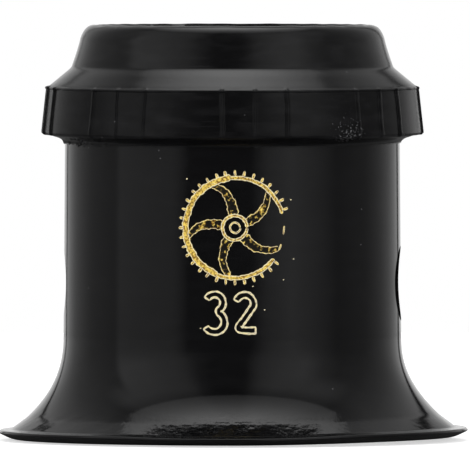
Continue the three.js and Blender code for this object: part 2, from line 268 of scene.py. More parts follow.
def eyecup_parts():
    """Outline R(z) carried round the axis, with the thread as a height field on its neck, and two vent patches.

    The cup isn't quite true: its rim lifts a little on the right and is thinner in front, and it leans to the
    right.
    """
    columns = VENT_ANGLES[0] + TURN * np.arange(HOUSING_COLUMNS) / HOUSING_COLUMNS
    vent_rows = VENT + PATCH_STEP * np.arange(-PATCH, PATCH + 1)
    lip = soften(
        [
            (16.45, 0.0), (16.78, 0.01), (17.06, 0.07), (17.32, 0.16), (17.62, 0.31), (17.86, 0.46),
            (18.0, 0.54), (18.03, 0.62), (18.01, 0.7), (17.97, 0.765), (17.88, 0.81), (17.65, 0.82),
            (17.3, 0.83), (17.08, 0.88), (16.9, 1.01), (16.6, 1.23), (16.2, 1.53), (15.83, 1.82),
            (15.46, 2.19),
        ]
    )
    flare = np.linspace(2.35, FLARE_TOP - 0.1, 32)
    rise = np.r_[flare, vent_rows, np.linspace(16, TUBE_END - 0.4, 6)]
    outside = np.stack([tube_outside(rise), rise], -1)
    shoulder = rounded(
        [
            (TUBE_TOP, TUBE_END - 0.3, 0), (TUBE_TOP, TUBE_END, 0.1), (THREAD, TUBE_END, 0.02),
            (THREAD, 23.12, 0.04), (NECK, 23.12, 0.04), (NECK, 23.25, 0),
        ]
    )
    neck = np.stack([np.full(58, NECK), np.linspace(23.27, 26.78, 58)], -1)
    top = rounded(
        [
            (NECK, 26.8, 0), (NECK, 26.85, 0.02), (NECK - 0.15, NECK_TOP, 0.04),
            (NECK_BORE, NECK_TOP, 0.08), (tube_inside(26.7), 26.7, 0),
        ]
    )
    fall = np.r_[np.linspace(26, 16, 6), vent_rows[::-1], np.linspace(FLARE_TOP - 0.1, 0.35, 22)]
    inside = np.stack([tube_inside(fall), fall], -1)
    foot = rounded([(tube_inside(0.3), 0.3, 0), (CONTACT_INNER, 0.0, 0.12), (16.3, 0.0, 0)])
    outline = np.vstack([lip, outside, shoulder, neck, top, inside, foot])
    radius, height = outline[:, :1], outline[:, 1:]
    on_neck = (np.abs(radius - NECK) < 0.01) & (height > 23.2) & (height < 26.84)
    ridge = thread_height(columns, height, 0, NECK_RIDGE_TURNS, NECK_RIDGE)
    on_top = smooth((height - 0.5) / 0.25) * smooth((2.6 - height) / 0.8) * (radius > 15.3)
    lumps = 0.003 * ripple(columns + 0.1 * radius, range(20, 80, 6), 21)
    near_foot = smooth((7 - height) / 5)
    at_front = smooth((np.cos(columns) - 0.88) / 0.12)
    lift = 0.19 * smooth(np.sin(columns)) * near_foot
    lift = lift + 0.055 * (1 + np.cos(columns)) * smooth((0.65 - height) / 0.5)
    lift = lift - 0.1 * at_front * smooth((height - 0.44) / 0.1) * np.clip((1.8 - height) / 0.9, 0, 1)
    shell = turned(
        radius + np.where(on_neck, ridge * (THREAD - NECK), 0) + on_top * lumps,
        height + lift + on_top * lumps, columns,
    )
    shell[..., 0] += 0.07 * near_foot
    faces = quads(*shell.shape[:2])
    first_up = len(lip) + len(flare)
    first_down = len(outline) - len(foot) - len(inside) + 6
    column = np.arange(HOUSING_COLUMNS)
    half_turn = HOUSING_COLUMNS // 2
    beside = np.isin((column + PATCH) % half_turn, np.arange(2 * PATCH))
    row = np.arange(len(outline))
    level = np.isin(row, np.r_[first_up : first_up + 2 * PATCH, first_down : first_down + 2 * PATCH])
    kept = faces[~(level[:, None] & beside)]
    patches = [grid(vent_patch(angle), close_rows=False) for angle in VENT_ANGLES]
    return [(shell, kept), *patches]


# Screw cap

CAP_COLUMNS = 288
RIB_ANGLES = np.radians(np.add.outer(6.9 + 45 * np.arange(8), [-10, 0, 10]).ravel())
RIB_WIDTH = 0.3  # at its foot
RIB_HEIGHT = 0.15
LIP_END = 0.03  # above the cap's base


def cap_columns():
    """Even columns, but eight packed ones across each rib."""
    near = np.array([-0.24, -0.15, -0.13, -0.1, 0.1, 0.13, 0.15, 0.24]) / GRIP
    even = TURN * np.arange(CAP_COLUMNS) / CAP_COLUMNS
    extra = np.add.outer(RIB_ANGLES, near).ravel() % TURN
    gap = np.abs((even[:, None] - RIB_ANGLES + np.pi) % TURN - np.pi).min(1)
    return np.sort(np.r_[even[gap > 0.42 / GRIP], extra])


def cap_parts():
    """Outline R(z) carried round the axis, with ribs and thread as height fields.

    Seeded ripples make the lip, the ledge, the grip ring's upper edge and the rim of the sight opening uneven,
    and wear notches into the rim. In front the grip ring sags by a tenth of a millimetre or two.
    """
    columns = cap_columns()
    lip = rounded([(CAP_LIP - 0.05, LIP_END, 0), (CAP_LIP, LIP_END, 0.01), (CAP_LIP, 0.1, 0)], support=0.01)
    bevel = soften([(CAP_LIP, 0.11), (13.02, 0.19), (13.32, 0.4), (13.8, 0.54), (13.95, 0.61)], 2)
    ledge = rounded([(13.97, 0.62, 0), (14.42, 0.66, 0.02), (GRIP, 0.8, 0.05), (GRIP, 0.95, 0)])
    grip = straight((GRIP - 0.03, 1.2), (GRIP_TOP + 0.04, 3.95), 9)
    edge = rounded(
        [
            (GRIP_TOP + 0.02, 4.1, 0), (GRIP_TOP + 0.01, 4.16, 0.02), (GRIP_TOP + 0.06, 4.22, 0.03),
            (GRIP_TOP + 0.03, 4.32, 0.04), (14.04, 4.44, 0),
        ],
        support=0.01,
    )
    cone = bend((13.98, 4.5), (13.0, 5.3), (12.5, 5.72), 8)
    foot = rounded([(12.48, 5.74, 0), (12.38, 5.85, 0.06), (12.3, 6.05, 0)])
    dome = bend((12.28, 6.12), (11.86, 7.3), (11.7, 8.0), 8)
    crown = bend((11.69, 8.05), (11.34, 9.105), (10.62, 9.105), 12)
    mouth = rounded(
        [
            (10.59, 9.1, 0), (10.47, 9.09, 0.01), (10.46, 8.88, 0.02), (8.9, 8.15, 0.06), (8.9, 7.65, 0.06),
            (CELL, 7.65, 0.02), (CELL, 1.61, 0.02), (CELL + 0.35, 1.61, 0.03), (CELL + 0.35, 0.55, 0.03),
            (CELL, 0.55, 0.02), (CELL, 0.05, 0.03), (CELL + 0.2, -0.152, 0.03), (SLEEVE, -0.152, 0.08),
            (SLEEVE, 4.45, 0.05), (CAP_BORE, 4.45, 0.05), (CAP_BORE, 4.2, 0),
        ],
        steps=2,
    )
    bore = np.stack([np.full(38, CAP_BORE), np.linspace(4.18, 0.3, 38)], -1)
    rim = straight((CAP_BORE, 0.25), (CAP_BORE, LIP_END + 0.01), 3)
    outline = np.vstack([lip, bevel, ledge, grip, edge, cone, foot, dome, crown, mouth, bore, rim])
    radius, height = outline[:, :1], outline[:, 1:]
    turn = (columns[:, None] - RIB_ANGLES + np.pi) % TURN - np.pi
    nearest = np.abs(turn).argmin(1)
    off_rib = np.abs(turn).min(1) * GRIP
    rib = smooth((RIB_WIDTH / 2 - off_rib) / 0.05) * RIB_HEIGHT
    waver = 0.04 * np.sin(height * 1.1 + 40 * nearest) + 0.015 * np.sin(height * 5.1 + 90 * nearest)
    waver = waver * smooth((0.42 - off_rib) / 0.16)
    on_grip = smooth((radius - 13.99) / 0.2) * smooth((4.5 - height) / 0.12)
    in_bore = (np.abs(radius - CAP_BORE) < 1e-6) & (height > 0.25) & (height < 4.2)
    start = TURN * (CAP_BASE + CAP_RIDGE_START - NECK_RIDGE) / PITCH + np.pi
    ridge = thread_height(columns, height, start, CAP_RIDGE_CLIMB / PITCH, CAP_RIDGE_START)
    ridge = ridge * (CAP_BORE - CAP_RIDGE)
    worst = np.exp(-((((columns - np.radians(-65) + np.pi) % TURN - np.pi) / 0.35) ** 2))
    chipped = np.exp(-((((columns - np.radians(39) + np.pi) % TURN - np.pi) / 0.1) ** 2))
    rough = np.clip(0.5 + ripple(columns, range(90, 190, 4), 11), 0, None)
    flash = rough * (0.012 + 0.07 * worst + 0.03 * smooth(ripple(columns, range(3, 9), 12)))
    on_lip = smooth((0.3 - height) / 0.2) * (radius > CAP_BORE + 0.01) * (radius < 13.3)
    on_ledge = smooth((radius - 14.2) / 0.2) * smooth((0.98 - height) / 0.15) * (height > 0.6)
    on_rim = smooth((height - 8.9) / 0.15) * (radius > 10)
    uneven = 0.012 * (1.5 + ripple(columns, range(9, 40, 4), 13))
    worn = smooth(0.4 + 4 * ripple(columns, range(13, 28, 4), 15)) * smooth(-0.3 - 3 * np.sin(columns))
    uneven = uneven + (radius < 10.55) * 0.24 * worn
    on_edge = smooth((height - 4.12) / 0.06) * smooth((4.42 - height) / 0.08) * (radius > 13.9)
    parting = 0.02 * ripple(columns, range(7, 60, 5), 14)
    sag = smooth(np.cos(columns)) * np.interp(height, [0.9, 4.5, 5.3], [0.17, 0.1, 0]) * (radius > 12.93)
    radius = radius + rib * on_grip - np.where(in_bore, ridge, 0) + on_lip * flash + on_edge * parting
    radius = radius - on_ledge * rough * (0.012 + 0.1 * chipped)
    height = height + CAP_BASE - on_lip * flash * 0.8 - on_rim * uneven - sag
    return [grid(turned(radius, height, columns + waver * on_grip / GRIP))]


# Lenses and what holds them

FULL_RING = TURN * np.arange(128) / 128
SPHERE = 32.6875  # radius of the lenses' curved faces

# Heights above the cap's base
OBJECTIVE_FLAT = 7.55
SPACER_TOP = 6.45
SPACER_FOOT = 3.528
EYE_LENS_FLAT = 2.428
CUSHION = 1.978
SNAP_RING = 1.078


def lathe_parts(outline):
    """A closed outline carried round the axis; where it meets the axis, its rows shrink to one point."""
    outline = np.asarray(outline, float)
    return [grid(turned(outline[:, :1], outline[:, 1:], FULL_RING))]


def lens_outline(flat, side):
    """Plano-convex: flat face at one height, curved face z = sqrt(S^2 - R^2) on the given side of it."""
    radius = LENS * np.linspace(0, 1, 25)
    sag = SPHERE - np.sqrt(SPHERE**2 - radius**2)
    top_sag = sag[-1]
    curved = np.stack([radius, flat + side * (1 + top_sag - sag)], -1)
    edge = rounded(
        [
            (LENS, flat + side * 0.9, 0), (LENS, flat + side * 0.2, 0.03), (LENS - 0.2, flat, 0.03),
            (LENS - 0.5, flat, 0),
        ]
    )
    return np.vstack([curved, edge, [(5.0, flat), (0.0, flat)]])


def spacer_outline():
    """Thin tube between the lens rims, its ends sloped with the curved faces, finely grooved inside."""
    low, high, slope = CAP_BASE + SPACER_FOOT, CAP_BASE + SPACER_TOP, 0.236
    inner = LENS - 0.8
    groove = np.linspace(high - slope - 0.06, low + slope + 0.06, 60)
    wall = np.stack([inner + 0.04 * np.abs(np.sin(np.arange(60) * np.pi / 4)), groove], -1)
    return np.vstack(
        [
            rounded([(inner + 0.1, low + slope - 0.03, 0), (LENS, low, 0.05), (LENS, high, 0.05),
                     (inner + 0.1, high - slope + 0.03, 0)]),
            [(inner + 0.01, high - slope)],
            wall,
            [(inner + 0.01, low + slope)],
        ]
    )


def oval_outline(middle, height, half_width, half_height, steps=24):
    """An oval section about a middle radius and height."""
    t = TURN * np.arange(steps) / steps
    return np.stack([middle + half_width * np.cos(t), height + half_height * np.sin(t)], -1)


def split_ring_parts():
    """A round wire of radius r swept round most of a turn, its cut ends rounded off by shrinking r."""
    wire, middle, half_gap = 0.45, 9.42, 1.3
    end = math.asin(half_gap / middle)
    lead = np.array([0, 0.004, 0.01])
    reach = TURN - 2 * end
    angle = np.pi + end + np.r_[0, lead, np.linspace(0.02, reach - 0.02, 150), reach - lead[::-1], reach]
    size = wire * np.r_[0, 0.86, 0.97, 1, np.ones(150), 1, 0.97, 0.86, 0]
    t = TURN * np.arange(20) / 20
    radius = middle + size[:, None] * np.cos(t)
    height = CAP_BASE + SNAP_RING + size[:, None] * np.sin(t)
    return [grid(turned(radius, height, angle[:, None]), close_rows=False)]


# Gold mark: a going wheel of a watch over the plain number 32, stamped in foil

FOIL_PROUD = 0.03
FOIL_STEP = 0.05  # along a stroke


def resample(path, spacing):
    """The same path with points evenly spaced along it."""
    path = np.asarray(path, float)
    along = np.r_[0, np.cumsum(np.linalg.norm(np.diff(path, axis=0), axis=1))]
    even = np.linspace(0, along[-1], max(4, round(along[-1] / spacing)))
    return np.stack([np.interp(even, along, path[:, k]) for k in range(2)], -1), even


def sideways(line):
    """Unit vectors to the right of a path at each of its points."""
    ahead = np.gradient(line, axis=0)
    ahead /= np.linalg.norm(ahead, axis=1, keepdims=True)
    return np.stack([ahead[:, 1], -ahead[:, 0]], -1)


def arc(centre, radius, start, end, steps=60):
    """Points of an arc, angles in degrees, anticlockwise from the right."""
    a = np.radians(np.linspace(start, end, steps))
    return np.stack([centre[0] + radius * np.cos(a), centre[1] + radius * np.sin(a)], -1)


def stroke(path, width, seed, ragged=0.16, floor=0.6):
    """A foil stroke laid on the tube: path (u, v) in mm, u round the tube and v up.

    Across it the height is a low wall at both edges and a floor between, which is a share of the wall. Both
    edges wander by a seeded ripple, as the whole stroke does, and the ends close to a point. The width may
    change evenly from end to end.
    """
    line, along = resample(path, FOIL_STEP)
    aside = sideways(line)
    width = np.interp(along, [0, along[-1]], np.broadcast_to(width, 2))
    turn = along * TURN / 36
    wander = 0.02 * ripple(turn, [3, 8, 21], seed + 2)
    left = 1 + ragged * ripple(turn, [5, 13, 34, 55, 89], seed)
    right = 1 + ragged * ripple(turn, [5, 13, 34, 55, 89], seed + 1)
    close = np.minimum(along, along[-1] - along) / (width / 2)
    taper = np.sqrt(np.clip(1 - (1 - np.clip(close, 0, 1)) ** 2, 0, 1))
    rim = np.minimum(0.06, width / 5) / width
    side = np.stack([-1 + 0 * rim, -1 + 2 * rim, -1 + 4 * rim, 1 - 4 * rim, 1 - 2 * rim, 1 + 0 * rim], -1)
    lift = FOIL_PROUD * np.array([-0.6, 1, floor, floor, 1, -0.6])
    edge = np.where(side < 0, left[:, None], right[:, None])
    offset = (width * taper)[:, None] / 2 * side * edge + wander[:, None]
    u = line[:, :1] + aside[:, :1] * offset
    v = line[:, 1:] + aside[:, 1:] * offset
    return grid(turned(tube_outside(v) + lift, v, u / TUBE_FOOT), close_rows=False)


def wheel_parts():
    """The wheel: a rim that took badly on the right, 31 teeth of 36, five swept spokes, a hub and crumbs."""
    middle = np.array([0.2, 16.6])
    rim_radius, tooth_foot, tooth_tip = 3.82, 3.96, 4.4
    rim = (  # first and last angle, width, floor
        (16, 96, 0.4, 0.7), (94, 250, 0.58, 0.7), (248, 322, 0.42, 0.7), (333, 341, 0.2, 0.6),
        (352, 362, 0.2, 0.6),
    )
    crumbs = ((4.5, 18.7), (4.7, 14.2), (3.9, 12.6), (-3.6, 20.3), (1.5, 12.1), (2.4, 10.3), (-2.5, 8.9))
    parts = []
    seed = iter(range(100, 1000, 2))
    for first, last, width, floor in rim:
        parts.append(stroke(arc(middle, rim_radius, first, last), width, next(seed), 0.14, floor))
    for way in np.radians(np.arange(20, 330, 10)):
        out = np.array([np.cos(way), np.sin(way)])
        tooth = [middle + tooth_foot * out, middle + tooth_tip * out]
        parts.append(stroke(tooth, 0.3, next(seed), 0.2, 0.6))
    for way in np.radians(90 + 72 * np.arange(5)):
        t = np.linspace(0, 1, 30)
        reach = 0.8 + 2.95 * t
        swing = way + 0.1 + 0.42 * t * t
        line = middle + reach[:, None] * np.stack([np.cos(swing), np.sin(swing)], -1)
        parts.append(stroke(line, (0.95, 0.5), next(seed), 0.12, 0.25))
    for hub_radius, width in ((0.93, 0.34), (0.4, 0.2)):
        parts.append(stroke(arc(middle, hub_radius, 0, 360), width, next(seed), 0.14, 0.7))
    for u, v in crumbs:
        parts.append(stroke([(u, v), (u + 0.14, v + 0.05)], 0.13, next(seed), 0.3, 0.8))
    return parts


def digit_parts():
    """Hollow digits 3 and 2: each thick line is drawn by its outline."""
    three = np.vstack([arc((-1.35, 10.88), 0.64, 150, -60), arc((-1.35, 9.4), 0.76, 62, -150)])
    foot = bend((0.86, 9.55), (0.05, 8.78), (0.95, 8.78), 8)
    two = np.vstack([arc((0.95, 10.8), 0.68, 160, -20), foot, [(1.76, 8.78)]])
    outlines = []
    for path in (three, two):
        line = resample(path, 0.06)[0]
        aside = sideways(line) * 0.23
        loop = np.vstack([line + aside, (line - aside)[::-1], (line + aside)[:1]])
        outlines.append(soften(loop, 1))
    return [stroke(path, 0.2, 30 + 2 * k, 0.25, 0.8) for k, path in enumerate(outlines)]


def mark_take(made):
    """Stores the foil's height over the tube at each point, as a share of its edges': the shader reads it as how
    well the foil took, and lays a painted highlight where it is high.
    """
    points = np.empty(3 * len(made.data.vertices))
    made.data.vertices.foreach_get("co", points)
    x, y, z = points.reshape(-1, 3).T / MM
    share = (np.hypot(x, y) - tube_outside(z)) / FOIL_PROUD
    made.data.attributes.new("take_and_highlight", "FLOAT", "POINT").data.foreach_set("value", share)


# Materials

# Scuffs: (angle, radius, height, reach) of one on the grip ring and one on the flash under it, in mm
SCUFFS = ((math.radians(38), 14.6, 23.5, 2.5), (math.radians(-60), 13.4, 23.2, 1.6))


def linear(colour):
    """An sRGB hex colour as linear red, green, blue and alpha."""
    parts = np.array([int(colour[i : i + 2], 16) for i in (1, 3, 5)]) / 255
    parts = np.where(parts <= 0.04045, parts / 12.92, ((parts + 0.055) / 1.055) ** 2.4)
    return (*parts.tolist(), 1.0)


def add(tree, kind, inputs=None, **settings):
    """Adds a node with its settings. Inputs are values, or other nodes' sockets, which are linked."""
    made = tree.nodes.new(kind)
    for name, value in settings.items():
        setattr(made, name, value)
    for name, value in (inputs or {}).items():
        if isinstance(value, bpy.types.NodeSocket):
            tree.links.new(value, made.inputs[name])
        else:
            made.inputs[name].default_value = value
    return made


def surface(name, colour, **inputs):
    """A material with a bare Principled shader, and its node tree."""
    made = bpy.data.materials.new(name)
    made.use_nodes = True
    tree = made.node_tree
    shader = tree.nodes["Principled BSDF"]
    shader.inputs["Base Color"].default_value = linear(colour)
    for socket, value in inputs.items():
        shader.inputs[socket.replace("_", " ")].default_value = value
    return made, tree, shader


def per_mm(size):
    """The scale of a texture with features this many millimetres wide, on Object coordinates in metres."""
    return 1000 / size


def moulded_black(name, colour, gloss, peel_depth, marks, dust, cloud, grip=None):
    """Injection-moulded ABS from a polished tool.

    To the eye: deep black, mirror-like reflections that swim a little where the wall has sunk, fine streaks
    where it was rubbed, a faint cloudy film, a scuff on the grip ring and one under it, and dust in pale specks.
    The eyecup's rim, below 2.7 mm, has more of the orange peel. A grip is (roughness, specular level) of the
    part beyond radius 14 mm, which was left duller in the tool.
    """
    made, tree, shader = surface(name, colour, Roughness=gloss, IOR=1.54)
    at = add(tree, "ShaderNodeTexCoord").outputs["Object"]
    sink = add(tree, "ShaderNodeTexNoise", {"Vector": at, "Scale": per_mm(7), "Detail": 1.5})
    peel = add(tree, "ShaderNodeTexNoise", {"Vector": at, "Scale": per_mm(0.4), "Detail": 3.0})

    # Rubbed streaks: noise 30 times longer than wide, level ones and two slanted sets
    worn = None
    for tilt in ((0, 0, 0), (0.5, 0.6, 0.3), (-0.9, 0.3, 0.8)):
        lane = add(
            tree, "ShaderNodeMapping",
            {"Vector": at, "Rotation": tilt, "Scale": (per_mm(4.5), per_mm(4.5), per_mm(0.14))},
        )
        noise = add(tree, "ShaderNodeTexNoise", {"Vector": lane.outputs[0], "Scale": 1.0, "Detail": 1.0})
        line = add(
            tree, "ShaderNodeMapRange",
            {"Value": noise.outputs["Fac"], "From Min": 0.7, "From Max": 0.85, "To Max": marks},
        )
        if worn:
            line = add(tree, "ShaderNodeMath", {0: line.outputs[0], 1: worn}, operation="MAXIMUM")
        worn = line.outputs[0]

    # Dust, and the scuffs
    cell = add(tree, "ShaderNodeTexVoronoi", {"Vector": at, "Scale": per_mm(1.1)})
    speck = add(
        tree, "ShaderNodeMapRange",
        {"Value": cell.outputs["Distance"], "From Min": 0.03, "From Max": 0.06, "To Min": 1.0, "To Max": 0.0},
    )
    shade = add(tree, "ShaderNodeSeparateColor", {"Color": cell.outputs["Color"]})
    rare = add(tree, "ShaderNodeMath", {0: shade.outputs[0], 1: 1 - dust}, operation="GREATER_THAN")
    grain = add(tree, "ShaderNodeMath", {0: speck.outputs[0], 1: rare.outputs[0]}, operation="MULTIPLY")
    near = -1.0
    for angle, radius, height, reach in SCUFFS:
        middle = [v * MM for v in (radius * math.sin(angle), -radius * math.cos(angle), height)]
        far = add(tree, "ShaderNodeVectorMath", {0: at, 1: middle}, operation="DISTANCE")
        patch = add(
            tree, "ShaderNodeMapRange",
            {"Value": far.outputs["Value"], "From Min": 0.3 * MM, "From Max": reach * MM, "To Min": 0.16,
             "To Max": -0.08},
        )
        near = add(tree, "ShaderNodeMath", {0: patch.outputs[0], 1: near}, operation="MAXIMUM").outputs[0]
    grit = add(tree, "ShaderNodeTexNoise", {"Vector": at, "Scale": per_mm(0.13), "Detail": 2.0})
    torn = add(tree, "ShaderNodeMath", {0: grit.outputs["Fac"], 1: near}, operation="ADD")
    scuff = add(tree, "ShaderNodeMapRange", {"Value": torn.outputs[0], "From Min": 0.7, "From Max": 0.78})
    spots = add(tree, "ShaderNodeMath", {0: grain.outputs[0], 1: scuff.outputs[0]}, operation="MAXIMUM")
    lane = add(
        tree, "ShaderNodeMapping", {"Vector": at, "Scale": (per_mm(2.4), per_mm(2.4), per_mm(0.7))},
    )
    haze = add(tree, "ShaderNodeTexNoise", {"Vector": lane.outputs[0], "Scale": 1.0, "Detail": 5.0})
    film = add(
        tree, "ShaderNodeMapRange",
        {"Value": haze.outputs["Fac"], "From Min": 0.45, "From Max": 0.75, "To Max": cloud},
    )
    marked = add(tree, "ShaderNodeMath", {0: spots.outputs[0], 1: worn}, operation="MAXIMUM")
    pale = add(
        tree, "ShaderNodeMath", {0: marked.outputs[0], 1: film.outputs[0]}, operation="ADD", use_clamp=True,
    )
    tint = add(
        tree, "ShaderNodeMix",
        {0: pale.outputs[0], 6: linear(colour), 7: linear("#5a5a5c")}, data_type="RGBA",
    )
    tree.links.new(tint.outputs[2], shader.inputs["Base Color"])
    place = add(tree, "ShaderNodeSeparateXYZ", {"Vector": at})
    smoothness, level = gloss, 0.5
    if grip:
        flat = add(tree, "ShaderNodeCombineXYZ", {"X": place.outputs["X"], "Y": place.outputs["Y"]})
        radius = add(tree, "ShaderNodeVectorMath", {0: flat.outputs[0]}, operation="LENGTH")
        held, sheen = (
            add(
                tree, "ShaderNodeMapRange",
                {"Value": radius.outputs["Value"], "From Min": 13.9 * MM, "From Max": 14.2 * MM,
                 "To Min": inner, "To Max": outer},
            )
            for inner, outer in zip((smoothness, level), grip)
        )
        smoothness, level = held.outputs[0], sheen.outputs[0]
    rough = add(
        tree, "ShaderNodeMapRange", {"Value": pale.outputs[0], "To Min": smoothness, "To Max": 0.5},
    )

    # The drilled vents' walls stay matt
    wall = None
    for angle in VENT_ANGLES:
        middle = [v * MM for v in (12.5 * math.sin(angle), -12.5 * math.cos(angle), VENT)]
        far = add(tree, "ShaderNodeVectorMath", {0: at, 1: middle}, operation="DISTANCE").outputs["Value"]
        wall = add(tree, "ShaderNodeMath", {0: far, 1: wall}, operation="MINIMUM").outputs[0] if wall else far
    drilled = add(tree, "ShaderNodeMath", {0: wall, 1: 2.9 * MM}, operation="LESS_THAN")
    for socket, value, on_wall in (("Roughness", rough.outputs[0], 0.7), ("Specular IOR Level", level, 0.1)):
        mixed = add(tree, "ShaderNodeMix", {0: drilled.outputs[0], 2: value, 3: on_wall})
        tree.links.new(mixed.outputs[0], shader.inputs[socket])
    wave = add(
        tree, "ShaderNodeBump", {"Height": sink.outputs["Fac"], "Distance": 0.02 * MM, "Strength": 1.0}
    )
    depth = add(
        tree, "ShaderNodeMapRange",
        {"Value": place.outputs["Z"], "From Min": 2.7 * MM, "From Max": 2.0 * MM, "To Min": peel_depth * MM,
         "To Max": 0.011 * MM},
    )
    skin = add(
        tree, "ShaderNodeBump",
        {"Height": peel.outputs["Fac"], "Distance": depth.outputs[0], "Strength": 1.0,
         "Normal": wave.outputs[0]},
    )
    tree.links.new(skin.outputs[0], shader.inputs["Normal"])
    return made


def hot_stamped_foil():
    """Metallised polyester foil pressed into the plastic with a hot die.

    To the eye: warm gold, with a painted highlight of near-white cream along the edges that the die pressed up,
    and painted shade, dark brown, in the hollows of its crumples. Between them it took in patches, and the black
    plastic shows through.
    """
    made, tree, shader = surface("Hot_stamped_gold_foil", "#e9bf62", Metallic=0.12, Roughness=0.34)
    at = add(tree, "ShaderNodeTexCoord").outputs["Object"]
    # The foil's height share: where it took, and where the painted highlight goes
    take_and_highlight = add(tree, "ShaderNodeAttribute", attribute_name="take_and_highlight").outputs["Fac"]
    patch = add(tree, "ShaderNodeTexNoise", {"Vector": at, "Scale": per_mm(0.3), "Detail": 3.0})
    crumple = add(tree, "ShaderNodeTexNoise", {"Vector": at, "Scale": per_mm(0.16), "Detail": 3.0})
    # Painted shade: the gold turns dark brown where the crumple noise, which also bumps the surface, is low
    painted_crumple_shade = add(
        tree, "ShaderNodeMapRange", {"Value": crumple.outputs["Fac"], "From Min": 0.38, "From Max": 0.6}
    )
    gold = add(
        tree, "ShaderNodeMix",
        {0: painted_crumple_shade.outputs[0], 6: linear("#8a5f16"), 7: linear("#ffde6a")}, data_type="RGBA",
    )
    # Painted highlight: near-white cream laid on where the foil stands highest, along the edges of each stroke
    crest = add(tree, "ShaderNodeMapRange", {"Value": take_and_highlight, "From Min": 0.7, "From Max": 0.95})
    lit = add(
        tree, "ShaderNodeMix",
        {0: crest.outputs[0], 6: gold.outputs[2], 7: linear("#fffce2")}, data_type="RGBA",
    )
    level = add(tree, "ShaderNodeMath", {0: patch.outputs["Fac"], 1: take_and_highlight}, operation="ADD")
    stuck = add(tree, "ShaderNodeMapRange", {"Value": level.outputs[0], "From Min": 0.8, "From Max": 0.9})
    tint = add(
        tree, "ShaderNodeMix",
        {0: stuck.outputs[0], 6: linear("#15120c"), 7: lit.outputs[2]}, data_type="RGBA",
    )
    tree.links.new(tint.outputs[2], shader.inputs["Base Color"])
    bump = add(
        tree, "ShaderNodeBump", {"Height": crumple.outputs["Fac"], "Distance": 0.1 * MM, "Strength": 1.0}
    )
    tree.links.new(bump.outputs[0], shader.inputs["Normal"])
    return made


def crown_glass():
    """Ground and polished crown glass: clear, with the faint green that a thick edge shows."""
    made, tree, shader = surface(
        "Polished_crown_glass", "#f2f8f5", Roughness=0.0, IOR=1.523, Transmission_Weight=1.0
    )
    at = add(tree, "ShaderNodeTexCoord").outputs["Object"]
    haze = add(tree, "ShaderNodeTexNoise", {"Vector": at, "Scale": per_mm(1.5), "Detail": 4.0})
    film = add(
        tree, "ShaderNodeMapRange",
        {"Value": haze.outputs["Fac"], "From Min": 0.55, "From Max": 0.8, "To Min": 0.0, "To Max": 0.06},
    )
    tree.links.new(film.outputs[0], shader.inputs["Roughness"])
    return made


def matt(name, colour, roughness, grit, depth):
    """A dull black moulding: an even fine grit kills the shine."""
    made, tree, shader = surface(name, colour, Roughness=roughness, IOR=1.5)
    at = add(tree, "ShaderNodeTexCoord").outputs["Object"]
    noise = add(tree, "ShaderNodeTexNoise", {"Vector": at, "Scale": per_mm(grit), "Detail": 2.0})
    bump = add(
        tree, "ShaderNodeBump", {"Height": noise.outputs["Fac"], "Distance": depth * MM, "Strength": 1.0}
    )
    tree.links.new(bump.outputs[0], shader.inputs["Normal"])
    return made


def drawn_steel():
    """Hard-drawn spring wire: grey metal with fine lines along it, left by the die."""
    made, tree, shader = surface("Drawn_spring_steel", "#a3a5a6", Metallic=1.0, Roughness=0.32)
    at = add(tree, "ShaderNodeTexCoord").outputs["Object"]
    place = add(tree, "ShaderNodeSeparateXYZ", {"Vector": at})
    flat = add(tree, "ShaderNodeCombineXYZ", {"X": place.outputs["X"], "Y": place.outputs["Y"]})
    radius = add(tree, "ShaderNodeVectorMath", {0: flat.outputs[0]}, operation="LENGTH")
    lane = add(tree, "ShaderNodeCombineXYZ", {"X": radius.outputs["Value"], "Y": place.outputs["Z"]})
    lines = add(tree, "ShaderNodeTexNoise", {"Vector": lane.outputs[0], "Scale": per_mm(0.08), "Detail": 2.0})
    rough = add(tree, "ShaderNodeMapRange", {"Value": lines.outputs["Fac"], "To Min": 0.22, "To Max": 0.45})
    tree.links.new(rough.outputs[0], shader.inputs["Roughness"])
    return made


black_housing = moulded_black(
    "Moulded_gloss_ABS", "#080809", gloss=0.09, peel_depth=0.0012, marks=0.03, dust=0.1, cloud=0.015
)
black_cap = moulded_black(
    "Moulded_gloss_ABS_handled", "#080809", gloss=0.17, peel_depth=0.003, marks=0.06, dust=0.2, cloud=0.045,
    grip=(0.24, 0.33),
)
glass = crown_glass()

piece("eyecup", eyecup_parts(), "housing", black_housing, "eyecup_housing")
mark_take(piece("foil_mark", wheel_parts() + digit_parts(), "housing", hot_stamped_foil()))
piece("ribbed_cap", cap_parts(), "cap", black_cap, "screw_cap")
for name, flat, side, solid in (
    ("objective", OBJECTIVE_FLAT, -1, "objective_lens"), ("ocular", EYE_LENS_FLAT, 1, "eye_lens"),
):
    parts = lathe_parts(lens_outline(CAP_BASE + flat, side))
    piece(name, parts, "lens_stack", glass, solid)
piece(
    "spacer_tube", lathe_parts(spacer_outline()), "lens_stack",
    matt("Moulded_matt_ABS", "#101011", 0.75, 0.12, 0.01), "lens_spacer",
)
piece(
    "rubber_ring", lathe_parts(oval_outline(9.1, CAP_BASE + CUSHION, 0.4, 0.35)), "lens_stack",
    matt("Moulded_nitrile_rubber", "#161616", 0.85, 0.2, 0.006), "cushion_ring",
)
piece("snap_ring", split_ring_parts(), "cap", drawn_steel(), "retaining_ring")


# Studio

